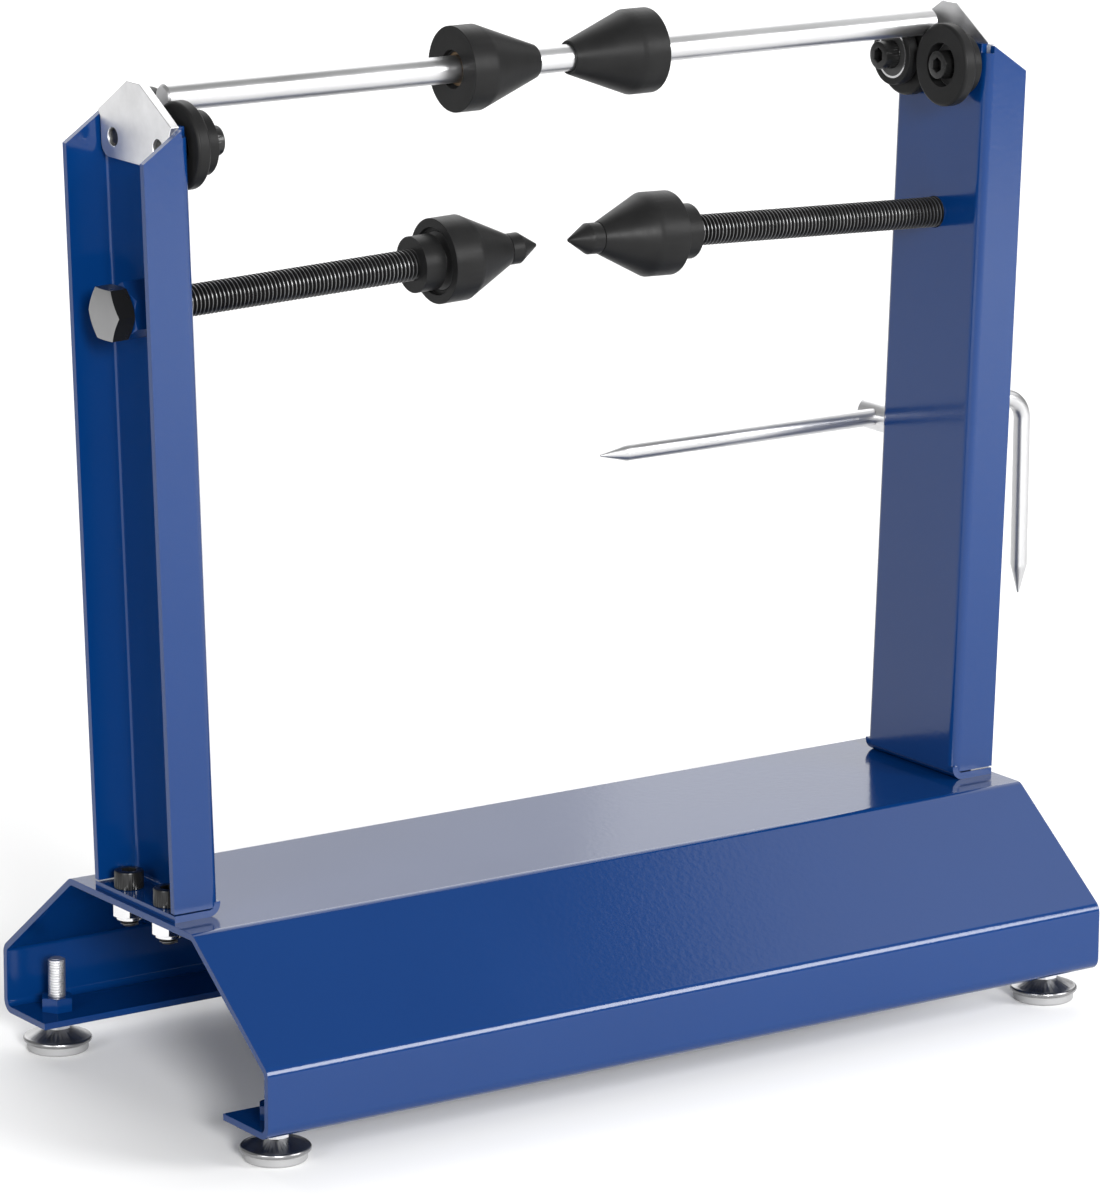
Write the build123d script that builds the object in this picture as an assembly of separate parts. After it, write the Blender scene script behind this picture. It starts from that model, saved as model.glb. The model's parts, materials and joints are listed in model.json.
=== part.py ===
from build123d import *
import os
from math import cos, radians, sin, sqrt

# Motorcycle wheel balancer: a free-standing bench frame. A loose shaft with two centring cones
# turns on four interleaved ball-bearing rollers, and two truing screws with spinning cones face
# each other below it. X runs along the shaft from left to right, Y from front to back and Z up,
# with the origin on the bench under the middle of the frame. Lengths are millimetres.

# Clearances, shared by every fit
running_fit = 0.05  # radial, between a pin or thread and its bore
bolt_clearance = 0.2  # radial, where a bolt passes through a sheet
press_fit = 0.01  # radial, where a ring is pressed into its seat
moving_gap = 0.3  # between faces that move past each other
overrun = 1.0  # how far a cutting tool runs past the metal
hexagon_chamfer_share = 0.6  # of a hexagon's corner that is turned off its ends
screw_head_edge_share = 0.08  # of a screw head's height that is broken at its rim

# Bent sheet base
sheet = 3.0
base_length = 450.0
base_width = 225.0
base_rise = 76.5  # from the underside of the bottom flanges to the top
base_top_width = 104.4
base_wall_rise = 30.5
base_flange_width = 36.5
base_bend_radius = 6.0

# Uprights: channels that open outwards and lean out, each with a foot bent from its web
upright_width = 67.2
upright_depth = 23.0
upright_inset = 2.5  # of the foot's end from the base's end
upright_lean = 2.0  # degrees, outwards
upright_rise = 344.5  # along the web, from the base top to the top of the web
upright_bend_radius = 4.5
upright_top_slope_drop = 12.8
upright_corner_relief = 4.0
foot_bend_radius = 5.6
foot_corner_gap = 0.8
foot_screw_spacing = 33.0
foot_screw_inset = 9.4  # from the end of the base

# Eight millimetre socket head screws and their nuts
screw_diameter = 8.0
screw_head_diameter = 13.0
screw_head_height = 8.0
screw_socket_flats = 6.0
screw_socket_depth = 4.0
screw_end_length = 3.0  # what shows past the nut
lock_nut_flats = 14.0
lock_nut_hex_height = 6.5
lock_nut_collar_height = 1.5
lock_nut_collar_diameter = 11.5

# Rollers: a wide disc and a narrow hub on one ball bearing
roller_spacing = 37.0
roller_axis_drop = 10.2  # below the top of the web
roller_disc_diameter = 38.0
roller_disc_width = 6.3
roller_disc_gap = 0.4  # between the two discs that overlap
roller_hub_diameter = 28.0
roller_groove_diameter = 24.6
roller_groove_width = 1.8
roller_rim_radius = 1.5
roller_wall_gap = 1.9  # between a roller and the web
roller_recess_diameter = 20.0
roller_contact_gap = 0.1  # between the shaft and the discs
bearing_outer_diameter = 22.0
bearing_width = 7.0
bearing_inset = 0.3  # behind the hub's face
bearing_ring_diameter = 19.0  # inside of the outer ring
bearing_inner_ring_diameter = 12.0
bearing_shield_thickness = 0.6
bolt_end_inset = 1.0  # behind the plate's outer face

# Roller plates: tapped plates behind the webs
plate_thickness = 4.0
plate_peak_rise = 25.8  # above the roller axes
plate_peak_width = 10.5
plate_shoulder_width = 60.4
plate_notch_drop = 2.8
plate_side_gap = 2.1
plate_tail_drop = 9.3  # below the roller axes
plate_corner_radius = 6.0

# Balancing shaft and its two sliding cones
shaft_diameter = 12.0
shaft_end_gap = 7.0  # between each of the shaft's ends and the web
shaft_chamfer = 1.0
shaft_cone_diameter = 38.0
shaft_cone_land = 11.3
shaft_cone_taper = 31.1
shaft_cone_nose_diameter = 15.0
shaft_cone_recess_diameter = 17.0
shaft_cone_recess_depth = 2.5
shaft_cone_gap = 18.8  # between the two small ends
shaft_cone_shift = -6.2  # how far the pair stands off the middle
bush_wall = 1.5
bush_length = 22.0

# Truing screws with their spinning cones
truing_axis_drop = 81.5  # below the top of the web
truing_screw_diameter = 14.0
truing_head_flats = 22.0
truing_head_height = 9.0
truing_nut_flats = 22.0
truing_nut_height = 14.0
truing_screw_engagement = 7.0  # inside the collar
truing_point_gap = 17.6  # between the two points, both screwed fully in
truing_point_shift = -5.0  # how far the middle of that gap is off the middle
truing_point_length = 9.9
truing_point_end_diameter = 1.6
truing_nose_length = 6.0
truing_cone_diameter = 38.0
truing_cone_land = 13.1
truing_cone_taper = 24.7
truing_cone_nose_diameter = 14.4
truing_cone_mouth_diameter = 30.0
truing_cone_mouth_depth = 2.2
truing_collar_diameter = 25.0
truing_collar_length = 10.0
truing_collar_gap = 1.6
truing_neck_diameter = 14.0
truing_journal_diameter = 10.0
truing_bearing_outer_diameter = 26.0
truing_bearing_width = 8.0
truing_bearing_ring_diameter = 22.4
truing_bearing_inner_ring_diameter = 14.0
truing_thread_length = 6.0
truing_thread_diameter = 6.0
truing_end_clearance = 3.0  # kept between the collar and the web at full travel

# Levelling feet
foot_pad_diameter = 27.8
foot_pad_height = 4.2
foot_pad_edge = 0.8
foot_cup_diameter = 31.0
foot_cup_rise = 6.0
foot_cup_wall = 1.5
foot_cup_rim_radius = 1.1
foot_cup_rim_rise = 2.4
foot_cup_rim_width = 1.3
foot_cup_top_diameter = 12.0
foot_spanner_flats = 11.0
foot_spanner_height = 4.3
foot_lift = 1.0  # room left under the flange
foot_stud_diameter = 8.0
foot_stud_rise = 27.0  # above the flange's underside
foot_nut_flats = 13.3
foot_nut_height = 6.5
foot_end_inset = 16.0
foot_side_inset = 20.0

# Rim pointer: a bent rod in an eye bolt behind the right upright
pointer_diameter = 8.0
pointer_reach = 163.3  # from the eye to the left tip
pointer_overhang = 82.5  # from the eye to the middle of the hanging arm
pointer_arm_drop = 96.8  # from the rod's axis to the lower tip
pointer_bend_radius = 11.0
pointer_taper = 14.0
pointer_end_diameter = 1.0
pointer_rise = 158.0  # above the base top
eye_head_diameter = 16.5
eye_head_length = 23.0
eye_head_edge = 1.2
eye_hole_distance = 11.4  # from the head's seat to the rod
eye_bolt_diameter = 6.0
eye_bolt_end = 2.0
eye_nut_flats = 10.0
eye_nut_height = 5.0
eye_web_distance = 8.8  # from the web's back to the middle of the eye

# Heights and places that follow from the sizes above
flange_z = foot_pad_height + foot_cup_rise + foot_spanner_height + foot_lift
base_top_z = flange_z + base_rise
end_x = base_length / 2
web_x = end_x - upright_inset - upright_depth  # the web's inner face at the base top
foot_screw_x = end_x - foot_screw_inset
foot_x = end_x - foot_end_inset
foot_y = base_width / 2 - foot_side_inset

# An upright's own frame: x from the web's inner face towards the middle, z up along the web from
# the base top. The left upright stands in it, and the right one is the same turned half round.
upright_frame = Pos(-web_x, 0, base_top_z) * Rot(0, -upright_lean, 0)
lean_sine = sin(radians(upright_lean))
lean_cosine = cos(radians(upright_lean))
roller_rise = upright_rise - roller_axis_drop
truing_rise = upright_rise - truing_axis_drop
roller_width = 2 * roller_disc_width + roller_disc_gap

# The level shaft rests on the inner edge of the disc that reaches furthest in
disc_edge_z = base_top_z + roller_rise * lean_cosine + (roller_wall_gap + roller_width) * lean_sine
disc_contact_distance = (roller_disc_diameter + shaft_diameter) / 2 + roller_contact_gap
shaft_z = disc_edge_z + sqrt(disc_contact_distance**2 - (roller_spacing / 2) ** 2)

# The webs stand further apart at the shaft's height than at the base top
shaft_end_x = web_x + (shaft_z - base_top_z) * lean_sine / lean_cosine - shaft_end_gap

# The eye bolt's place behind the right upright
pointer_z = base_top_z + pointer_rise
eye_x = web_x + pointer_rise * lean_sine + sheet + eye_web_distance
eye_seat_y = upright_width / 2 + moving_gap
eye_y = eye_seat_y + eye_hole_distance

# Stations of a truing screw, counted back from its point along its axis
nose_back = truing_point_length
cone_end_back = nose_back + truing_nose_length
cone_edge_back = cone_end_back + truing_cone_taper
cone_back = cone_edge_back + truing_cone_land
bearing_back = cone_back - truing_cone_mouth_depth
bearing_front = bearing_back - truing_bearing_width
collar_front = cone_back + truing_collar_gap
collar_back = collar_front + truing_collar_length
truing_head_seat = -sheet - truing_nut_height - moving_gap

# How far each truing point stands from its web when it is screwed fully in
truing_room = web_x + truing_rise * lean_sine - truing_point_gap / 2
left_truing_reach = (truing_room + truing_point_shift) / lean_cosine
right_truing_reach = (truing_room - truing_point_shift) / lean_cosine


# General shapes
def turned(points):
    """A solid turned about the X axis from its half outline of (x, radius) points."""
    return revolve(Plane.XZ * make_face(Polyline(*points, close=True)), Axis.X)


def bar(diameter, start, end):
    """A round bar along X between two stations."""
    return Plane.YZ.offset(start) * Cylinder(
        diameter / 2, end - start, align=(Align.CENTER, Align.CENTER, Align.MIN)
    )


def hexagon_bar(flats, start, end):
    """A hexagon bar along X between two stations, flats at top and bottom."""
    section = RegularPolygon(flats / 2, 6, major_radius=False, rotation=30)
    return extrude(Plane.YZ.offset(start) * section, end - start)


def chamfered_hexagon(flats, start, end, chamfer_start=True, chamfer_end=True):
    """A hexagon bar whose corners are turned off at the chosen ends."""
    corner = flats / sqrt(3)
    depth = (corner - flats / 2) * hexagon_chamfer_share
    near = flats / 2 if chamfer_start else corner
    far = flats / 2 if chamfer_end else corner
    envelope = turned(
        [
            (start, 0),
            (start, near),
            (start + depth, corner),
            (end - depth, corner),
            (end, far),
            (end, 0),
        ]
    )
    return hexagon_bar(flats, start, end) & envelope


def turned_about(piece, degrees):
    """The same piece turned about the upright Z axis."""
    return piece.rotate(Axis.Z, degrees)


def on_other_side(piece):
    """The matching piece of the other upright, which is the same assembly turned round."""
    return turned_about(piece, 180)


# Fasteners
def socket_screw(length):
    """A socket head screw along X: seat at the origin, head towards +X, shank towards -X."""
    head = bar(screw_head_diameter, 0, screw_head_height)
    head = chamfer(head.edges().sort_by(Axis.X)[-1], screw_head_height * screw_head_edge_share)
    socket = hexagon_bar(screw_socket_flats, screw_head_height - screw_socket_depth, screw_head_height)
    return head - socket + bar(screw_diameter, -length, 0)


def lock_nut():
    """A nut along X with its seat at the origin and its collar towards -X."""
    hexagon = chamfered_hexagon(lock_nut_flats, -lock_nut_hex_height, 0)
    collar_end = -lock_nut_hex_height - lock_nut_collar_height
    collar = bar(lock_nut_collar_diameter, collar_end, -lock_nut_hex_height)
    bore = bar(screw_diameter + 2 * running_fit, collar_end - overrun, overrun)
    return hexagon + collar - bore


# Base
def make_base():
    half_top = base_top_width / 2
    half_width = base_width / 2
    flange_end = half_width - base_flange_width
    right_side = [
        (half_top, base_rise),
        (half_width, base_wall_rise),
        (half_width, 0),
        (flange_end, 0),
    ]
    left_side = [(-y, z) for y, z in reversed(right_side)]
    with BuildPart() as base:
        with BuildSketch(Plane.YZ.offset(-base_length / 2)):
            with BuildLine():
                FilletPolyline(*left_side, *right_side, radius=base_bend_radius)
                offset(amount=sheet, side=Side.RIGHT)
            make_face()
        extrude(amount=base_length)
        with Locations((0, 0, base_rise)):
            with GridLocations(2 * foot_screw_x, foot_screw_spacing, 2, 2):
                Hole(screw_diameter / 2 + bolt_clearance, depth=2 * sheet)
        with Locations((0, 0, sheet)):
            with GridLocations(2 * foot_x, 2 * foot_y, 2, 2):
                Hole(foot_stud_diameter / 2 + bolt_clearance, depth=2 * sheet)
    return Pos(0, 0, flange_z) * base.part


# Uprights, made as the left one
def make_upright_channel():
    """Web and flanges in the upright's own frame, with the flanges' sloping tops."""
    half_width = upright_width / 2
    with BuildPart() as channel:
        with BuildSketch(Plane.XY):
            with BuildLine():
                FilletPolyline(
                    (-upright_depth, half_width),
                    (0, half_width),
                    (0, -half_width),
                    (-upright_depth, -half_width),
                    radius=upright_bend_radius,
                )
                offset(amount=sheet, side=Side.RIGHT)
            make_face()
        extrude(amount=upright_rise)
    solid = channel.part

    flange_depth = upright_depth - sheet
    slope_overrun = overrun * upright_top_slope_drop / flange_depth
    slope = make_face(
        Polyline(
            (-sheet, upright_rise),
            (-upright_depth - overrun, upright_rise - upright_top_slope_drop - slope_overrun),
            (-upright_depth - overrun, upright_rise + overrun),
            (-sheet, upright_rise + overrun),
            close=True,
        )
    )
    solid -= extrude(Plane.XZ.offset(-half_width - overrun) * slope, upright_width + 2 * overrun)
    relief = Box(sheet + 2 * overrun, upright_bend_radius + overrun, 2 * upright_corner_relief)
    for side in (-1, 1):
        relief_y = side * (half_width - (upright_bend_radius - overrun) / 2)
        solid -= Pos(-sheet / 2, relief_y, upright_rise) * relief
    return solid


def make_upright_foot():
    """The strip bent from the web's lower end onto the base, where it is level."""
    half_width = upright_width / 2
    strip_rise = foot_bend_radius + foot_corner_gap
    outer_line = [
        (-web_x - strip_rise * lean_sine, base_top_z + strip_rise * lean_cosine),
        (-web_x, base_top_z),
        (-web_x - upright_depth, base_top_z),
    ]
    with BuildPart() as foot:
        with BuildSketch(Plane.XZ.offset(-half_width)):
            with BuildLine():
                FilletPolyline(*outer_line, radius=foot_bend_radius)
                offset(amount=sheet, side=Side.RIGHT)
            make_face()
        extrude(amount=upright_width)
    return foot.part


def make_left_upright():
    flange_bottom_z = base_top_z + sheet + foot_corner_gap
    room_below = Pos(-web_x, 0, flange_bottom_z) * Box(
        4 * upright_depth, 2 * upright_width, upright_rise, align=(Align.CENTER, Align.CENTER, Align.MAX)
    )
    solid = upright_frame * make_upright_channel() - room_below + make_upright_foot()

    # Holes in the web for the roller bolts and the truing screw, and in the foot for its screws
    bolt_hole = screw_diameter + 2 * bolt_clearance
    through_web = (-sheet - overrun, overrun)
    for side in (-1, 1):
        bolt_drill = Pos(0, side * roller_spacing / 2, roller_rise) * bar(bolt_hole, *through_web)
        screw_drill = Cylinder(bolt_hole / 2, 4 * sheet)
        solid -= upright_frame * bolt_drill
        solid -= Pos(-foot_screw_x, side * foot_screw_spacing / 2, base_top_z) * screw_drill
    truing_hole = truing_screw_diameter + 4 * bolt_clearance
    return solid - upright_frame * Pos(0, 0, truing_rise) * bar(truing_hole, *through_web)


def make_right_upright():
    upright = on_other_side(make_left_upright())
    drill = Cylinder(eye_bolt_diameter / 2 + running_fit, 4 * sheet, rotation=(90, 0, 0))
    return upright - Pos(eye_x, upright_width / 2, pointer_z) * drill


# Screws and nuts that hold the uprights to the base
def each_foot_screw_place():
    for side in (-1, 1):
        for row in (-1, 1):
            yield side * foot_screw_x, row * foot_screw_spacing / 2


def make_foot_screws():
    length = 2 * sheet + lock_nut_hex_height + lock_nut_collar_height + screw_end_length
    upright_screw = socket_screw(length).rotate(Axis.Y, -90)
    return [Pos(x, y, base_top_z + sheet) * upright_screw for x, y in each_foot_screw_place()]


def make_foot_screw_nuts():
    upright_nut = lock_nut().rotate(Axis.Y, -90)
    return [Pos(x, y, base_top_z - sheet) * upright_nut for x, y in each_foot_screw_place()]


# Roller plates, in the upright's own frame
def make_roller_plate():
    half_tail = upright_width / 2 - sheet - plate_side_gap
    shoulder = upright_rise + bolt_clearance
    notch = shoulder - plate_notch_drop
    peak = roller_rise + plate_peak_rise
    tail = roller_rise - plate_tail_drop
    outline = [
        (plate_peak_width / 2, peak),
        (plate_shoulder_width / 2, shoulder),
        (half_tail, notch),
        (half_tail, tail),
        (-half_tail, tail),
        (-half_tail, notch),
        (-plate_shoulder_width / 2, shoulder),
        (-plate_peak_width / 2, peak),
    ]
    face = make_face(Polyline(*outline, close=True))
    face = fillet(face.vertices().group_by(Axis.Y)[0], plate_corner_radius)
    plate = extrude(Plane.YZ.offset(-sheet - plate_thickness) * face, plate_thickness)
    tapped_hole = screw_diameter + 2 * running_fit
    for side in (-1, 1):
        drill = bar(tapped_hole, -sheet - plate_thickness - overrun, -sheet + overrun)
        plate -= Pos(0, side * roller_spacing / 2, roller_rise) * drill
    return plate


# Rollers. The disc's face is at zero and the hub's face at the roller's width, towards +X.
def make_roller():
    disc = roller_disc_diameter / 2
    hub = roller_hub_diameter / 2
    groove = roller_groove_diameter / 2
    groove_end = roller_disc_width + roller_groove_width
    wheel = turned(
        [
            (0, 0),
            (0, disc),
            (roller_disc_width, disc),
            (roller_disc_width, groove),
            (groove_end, groove),
            (groove_end, hub),
            (roller_width, hub),
            (roller_width, 0),
        ]
    )
    rim = wheel.edges().filter_by(GeomType.CIRCLE).sort_by(lambda edge: edge.radius)[-2:]
    wheel = fillet(rim, roller_rim_radius)
    seat_start = roller_width - bearing_inset - bearing_width
    seat = bar(bearing_outer_diameter + 2 * press_fit, seat_start, roller_width + overrun)
    return wheel - seat - bar(roller_recess_diameter, -overrun, roller_width)


def bearing_rings(outer_diameter, outer_inside, inner_outside, bore, width):
    """Outer ring with its two shields, and inner ring, both starting at zero towards +X."""
    shield_end = inner_outside / 2 + moving_gap
    far_shield = width - bearing_shield_thickness
    outer = turned(
        [
            (0, shield_end),
            (0, outer_diameter / 2),
            (width, outer_diameter / 2),
            (width, shield_end),
            (far_shield, shield_end),
            (far_shield, outer_inside / 2),
            (bearing_shield_thickness, outer_inside / 2),
            (bearing_shield_thickness, shield_end),
        ]
    )
    inner = bar(inner_outside, 0, width) - bar(bore, -overrun, width + overrun)
    return outer, inner


def make_roller_bearing():
    return bearing_rings(
        bearing_outer_diameter,
        bearing_ring_diameter,
        bearing_inner_ring_diameter,
        screw_diameter + 2 * running_fit,
        bearing_width,
    )


def spacer(start, end):
    tube = bar(bearing_inner_ring_diameter, start, end)
    return tube - bar(screw_diameter + 2 * running_fit, start - overrun, end + overrun)


def make_roller_pair():
    """Both rollers of an upright, in its own frame, with bearings, spacers and bolts.

    The front one has its disc next to the web, the rear one has its hub there, so that the two
    discs pass each other and the shaft rests on both.
    """
    wheel = make_roller()
    outer_ring, inner_ring = make_roller_bearing()
    bearing_start = roller_width - bearing_inset - bearing_width
    near = roller_wall_gap
    far = near + roller_width
    front = Pos(0, -roller_spacing / 2, roller_rise)
    rear = Pos(0, roller_spacing / 2, roller_rise)
    clamped = sheet + plate_thickness - bolt_end_inset
    front_bearing = near + bearing_start
    rear_bearing = near + bearing_inset
    turn_round = Rot(0, 0, 180)
    pieces = {
        "front_roller": front * Pos(near, 0, 0) * wheel,
        "front_bearing": front * Pos(front_bearing, 0, 0) * outer_ring,
        "front_ring": front * Pos(front_bearing, 0, 0) * inner_ring,
        "front_spacer": front * spacer(0, front_bearing),
        "front_bolt": front
        * Pos(front_bearing + bearing_width, 0, 0)
        * socket_screw(front_bearing + bearing_width + clamped),
        "rear_roller": rear * Pos(far, 0, 0) * turn_round * wheel,
        "rear_bearing": rear * Pos(rear_bearing, 0, 0) * outer_ring,
        "rear_ring": rear * Pos(rear_bearing, 0, 0) * inner_ring,
        "rear_spacer": rear * spacer(0, rear_bearing),
        "rear_bolt": rear
        * Pos(rear_bearing + bearing_width, 0, 0)
        * socket_screw(rear_bearing + bearing_width + clamped),
    }
    return pieces


# Balancing shaft
def make_shaft():
    shaft = bar(shaft_diameter, -shaft_end_x, shaft_end_x)
    ends = shaft.edges().filter_by(GeomType.CIRCLE)
    return Pos(0, 0, shaft_z) * chamfer(ends, shaft_chamfer)


# Shaft cones: small end at zero, back face towards -X
def make_shaft_cone():
    length = shaft_cone_land + shaft_cone_taper
    cone = turned(
        [
            (0, 0),
            (0, shaft_cone_nose_diameter / 2),
            (-shaft_cone_taper, shaft_cone_diameter / 2),
            (-length, shaft_cone_diameter / 2),
            (-length, 0),
        ]
    )
    recess_x = shaft_cone_recess_depth - length
    recess = bar(shaft_cone_recess_diameter, -length - overrun, recess_x)
    bush_bore = shaft_diameter + 2 * bush_wall + 2 * press_fit
    bush_seat = bar(bush_bore, recess_x - overrun, recess_x + bush_length)
    bore = bar(shaft_diameter + 2 * moving_gap, -length, overrun)
    return cone - recess - bush_seat - bore


def make_cone_bush():
    start = shaft_cone_recess_depth - shaft_cone_land - shaft_cone_taper
    end = start + bush_length
    tube = bar(shaft_diameter + 2 * bush_wall, start, end)
    return tube - bar(shaft_diameter + 2 * running_fit, start - overrun, end + overrun)


def place_on_shaft(piece, side):
    """Left pieces keep their direction, right ones face them from the other side."""
    small_end_x = shaft_cone_shift + side * shaft_cone_gap / 2
    if side > 0:
        piece = turned_about(piece, 180)
    return Pos(small_end_x, 0, shaft_z) * piece


# Truing screws, on the X axis with the point at zero and the rest behind it
def make_truing_screw(reach):
    rod = bar(truing_screw_diameter, truing_head_seat - reach, truing_screw_engagement - collar_back)
    head_end = truing_head_seat - truing_head_height - reach
    return rod + chamfered_hexagon(truing_head_flats, head_end, truing_head_seat - reach)


def make_truing_nut():
    """The nut welded behind the web, in the upright's own frame."""
    back = -sheet - truing_nut_height
    nut = chamfered_hexagon(truing_nut_flats, back, -sheet, chamfer_end=False)
    bore = bar(truing_screw_diameter + 2 * running_fit, back - overrun, 0)
    return Pos(0, 0, truing_rise) * (nut - bore)


def make_truing_spindle():
    thread_end = truing_thread_length - cone_end_back
    spindle = turned(
        [
            (-collar_back, 0),
            (-collar_back, truing_collar_diameter / 2),
            (-collar_front, truing_collar_diameter / 2),
            (-collar_front, truing_neck_diameter / 2),
            (-bearing_back, truing_neck_diameter / 2),
            (-bearing_back, truing_journal_diameter / 2),
            (-cone_end_back + moving_gap, truing_journal_diameter / 2),
            (-cone_end_back + moving_gap, truing_thread_diameter / 2),
            (thread_end, truing_thread_diameter / 2),
            (thread_end, 0),
        ]
    )
    socket_diameter = truing_screw_diameter + 2 * press_fit
    return spindle - bar(socket_diameter, -collar_back - overrun, truing_screw_engagement - collar_back)


def make_truing_point():
    point = turned(
        [
            (-cone_end_back + moving_gap, 0),
            (-cone_end_back + moving_gap, truing_neck_diameter / 2),
            (-nose_back, truing_neck_diameter / 2),
            (0, truing_point_end_diameter / 2),
            (0, 0),
        ]
    )
    hole_diameter = truing_thread_diameter + 2 * press_fit
    return point - bar(hole_diameter, -cone_end_back - overrun, truing_thread_length - cone_end_back)


def make_truing_cone():
    cone = turned(
        [
            (-cone_end_back, 0),
            (-cone_end_back, truing_cone_nose_diameter / 2),
            (-cone_edge_back, truing_cone_diameter / 2),
            (-cone_back, truing_cone_diameter / 2),
            (-cone_back, 0),
        ]
    )
    mouth = bar(truing_cone_mouth_diameter, -cone_back - overrun, -bearing_back)
    seat = bar(truing_bearing_outer_diameter + 2 * running_fit, -bearing_back - overrun, -bearing_front)
    bore = bar(truing_journal_diameter + 2 * moving_gap, -cone_back, -cone_end_back + overrun)
    return cone - mouth - seat - bore


def make_truing_bearing():
    rings = bearing_rings(
        truing_bearing_outer_diameter,
        truing_bearing_ring_diameter,
        truing_bearing_inner_ring_diameter,
        truing_journal_diameter + 2 * running_fit,
        truing_bearing_width,
    )
    return [Pos(-bearing_back, 0, 0) * ring for ring in rings]


def make_truing_pieces(reach):
    """Every moving piece of one truing screw in the upright's own frame, by kind."""
    place = Pos(reach, 0, truing_rise)
    pieces = {
        "truing_screw": [make_truing_screw(reach)],
        "truing_spindle": [make_truing_spindle()],
        "truing_point": [make_truing_point()],
        "truing_cone": [make_truing_cone()],
        "truing_bearing": make_truing_bearing(),
    }
    return {kind: [place * solid for solid in solids] for kind, solids in pieces.items()}


# Levelling feet, made on the Z axis
def turned_upright(points):
    """A solid turned about the Z axis from its half outline of (radius, z) points."""
    return revolve(Plane.XZ * make_face(Polyline(*points, close=True)), Axis.Z)


def make_foot_pad():
    inside = foot_cup_diameter / 2 - foot_cup_wall - moving_gap
    core_top = foot_pad_height + foot_cup_rise - foot_cup_wall - 2 * moving_gap
    core_neck = foot_cup_top_diameter / 2 - foot_cup_wall
    band = foot_pad_diameter / 2
    return turned_upright(
        [
            (0, 0),
            (band - foot_pad_edge, 0),
            (band, foot_pad_edge),
            (band, foot_pad_height - moving_gap),
            (inside - foot_cup_wall, foot_pad_height - moving_gap),
            (core_neck, core_top),
            (0, core_top),
        ]
    )


def make_foot_cup():
    rim = foot_cup_diameter / 2
    top = foot_pad_height + foot_cup_rise
    shelf = foot_cup_top_diameter / 2
    rim_top = foot_pad_height + foot_cup_rim_rise
    shell = turned_upright(
        [
            (0, top),
            (shelf, top),
            (rim - foot_cup_rim_width, rim_top),
            (rim, rim_top),
            (rim, foot_pad_height),
            (rim - foot_cup_wall - foot_cup_rim_width, foot_pad_height),
            (shelf - foot_cup_wall / 2, top - foot_cup_wall),
            (0, top - foot_cup_wall),
        ]
    )
    rim_edges = shell.edges().filter_by(GeomType.CIRCLE).sort_by(lambda edge: edge.radius)[-2:]
    shell = fillet(rim_edges, foot_cup_rim_radius)
    return shell - Cylinder(foot_stud_diameter / 2 + press_fit, 4 * top)


def make_foot_stud():
    cup_top = foot_pad_height + foot_cup_rise
    stud_top = flange_z + foot_stud_rise
    stud = bar(foot_stud_diameter, cup_top - foot_cup_wall, stud_top)
    stud = chamfer(stud.edges().filter_by(GeomType.CIRCLE).sort_by(Axis.X)[-1], foot_pad_edge)
    stud += chamfered_hexagon(foot_spanner_flats, cup_top, cup_top + foot_spanner_height)
    return stud.rotate(Axis.Y, -90)


def make_foot_nuts():
    nut = chamfered_hexagon(foot_nut_flats, 0, foot_nut_height, chamfer_start=False)
    nut -= bar(foot_stud_diameter + 2 * running_fit, -overrun, foot_nut_height + overrun)
    weld_nut = nut.rotate(Axis.Y, -90)
    return [Pos(x, y, flange_z + sheet) * weld_nut for x, y in foot_places.values()]


foot_places = {
    "front_left": (-foot_x, -foot_y),
    "front_right": (foot_x, -foot_y),
    "rear_left": (-foot_x, foot_y),
    "rear_right": (foot_x, foot_y),
}


# Rim pointer
def make_eye_bolt():
    """A round head drilled across for the rod, with a shank that passes through the flange."""
    head = bar(eye_head_diameter, 0, eye_head_length)
    head = fillet(head.edges().filter_by(GeomType.CIRCLE).sort_by(Axis.X)[-1], eye_head_edge)
    shank_length = sheet + 2 * moving_gap + eye_nut_height + eye_bolt_end
    bolt = (head + bar(eye_bolt_diameter, -shank_length, 0)).rotate(Axis.Z, 90)
    hole = bar(pointer_diameter + 2 * running_fit, -eye_head_diameter, eye_head_diameter)
    return Pos(eye_x, eye_seat_y, pointer_z) * (bolt - Pos(0, eye_hole_distance, 0) * hole)


def make_eye_nut():
    nut = chamfered_hexagon(eye_nut_flats, 0, eye_nut_height)
    nut -= bar(eye_bolt_diameter + 2 * press_fit, -overrun, eye_nut_height + overrun)
    seat_y = upright_width / 2 - sheet - moving_gap
    return Pos(eye_x, seat_y, pointer_z) * nut.rotate(Axis.Z, -90)


def make_pointer():
    left_x = eye_x - pointer_reach
    right_x = eye_x + pointer_overhang
    low_z = pointer_z - pointer_arm_drop
    line = FilletPolyline(
        (left_x + pointer_taper, pointer_z),
        (right_x, pointer_z),
        (right_x, low_z + pointer_taper),
        radius=pointer_bend_radius,
    )
    path = Plane.XZ * line
    rod = sweep(Plane.YZ.offset(left_x + pointer_taper) * Pos(0, pointer_z) * Circle(pointer_diameter / 2), path)
    end_radius = pointer_end_diameter / 2
    left_point = Plane.YZ.offset(left_x) * Pos(0, pointer_z) * Cone(
        end_radius, pointer_diameter / 2, pointer_taper, align=(Align.CENTER, Align.CENTER, Align.MIN)
    )
    low_point = Pos(right_x, 0, low_z) * Cone(
        end_radius, pointer_diameter / 2, pointer_taper, align=(Align.CENTER, Align.CENTER, Align.MIN)
    )
    return Pos(0, eye_y, 0) * (rod + left_point + low_point)


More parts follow.
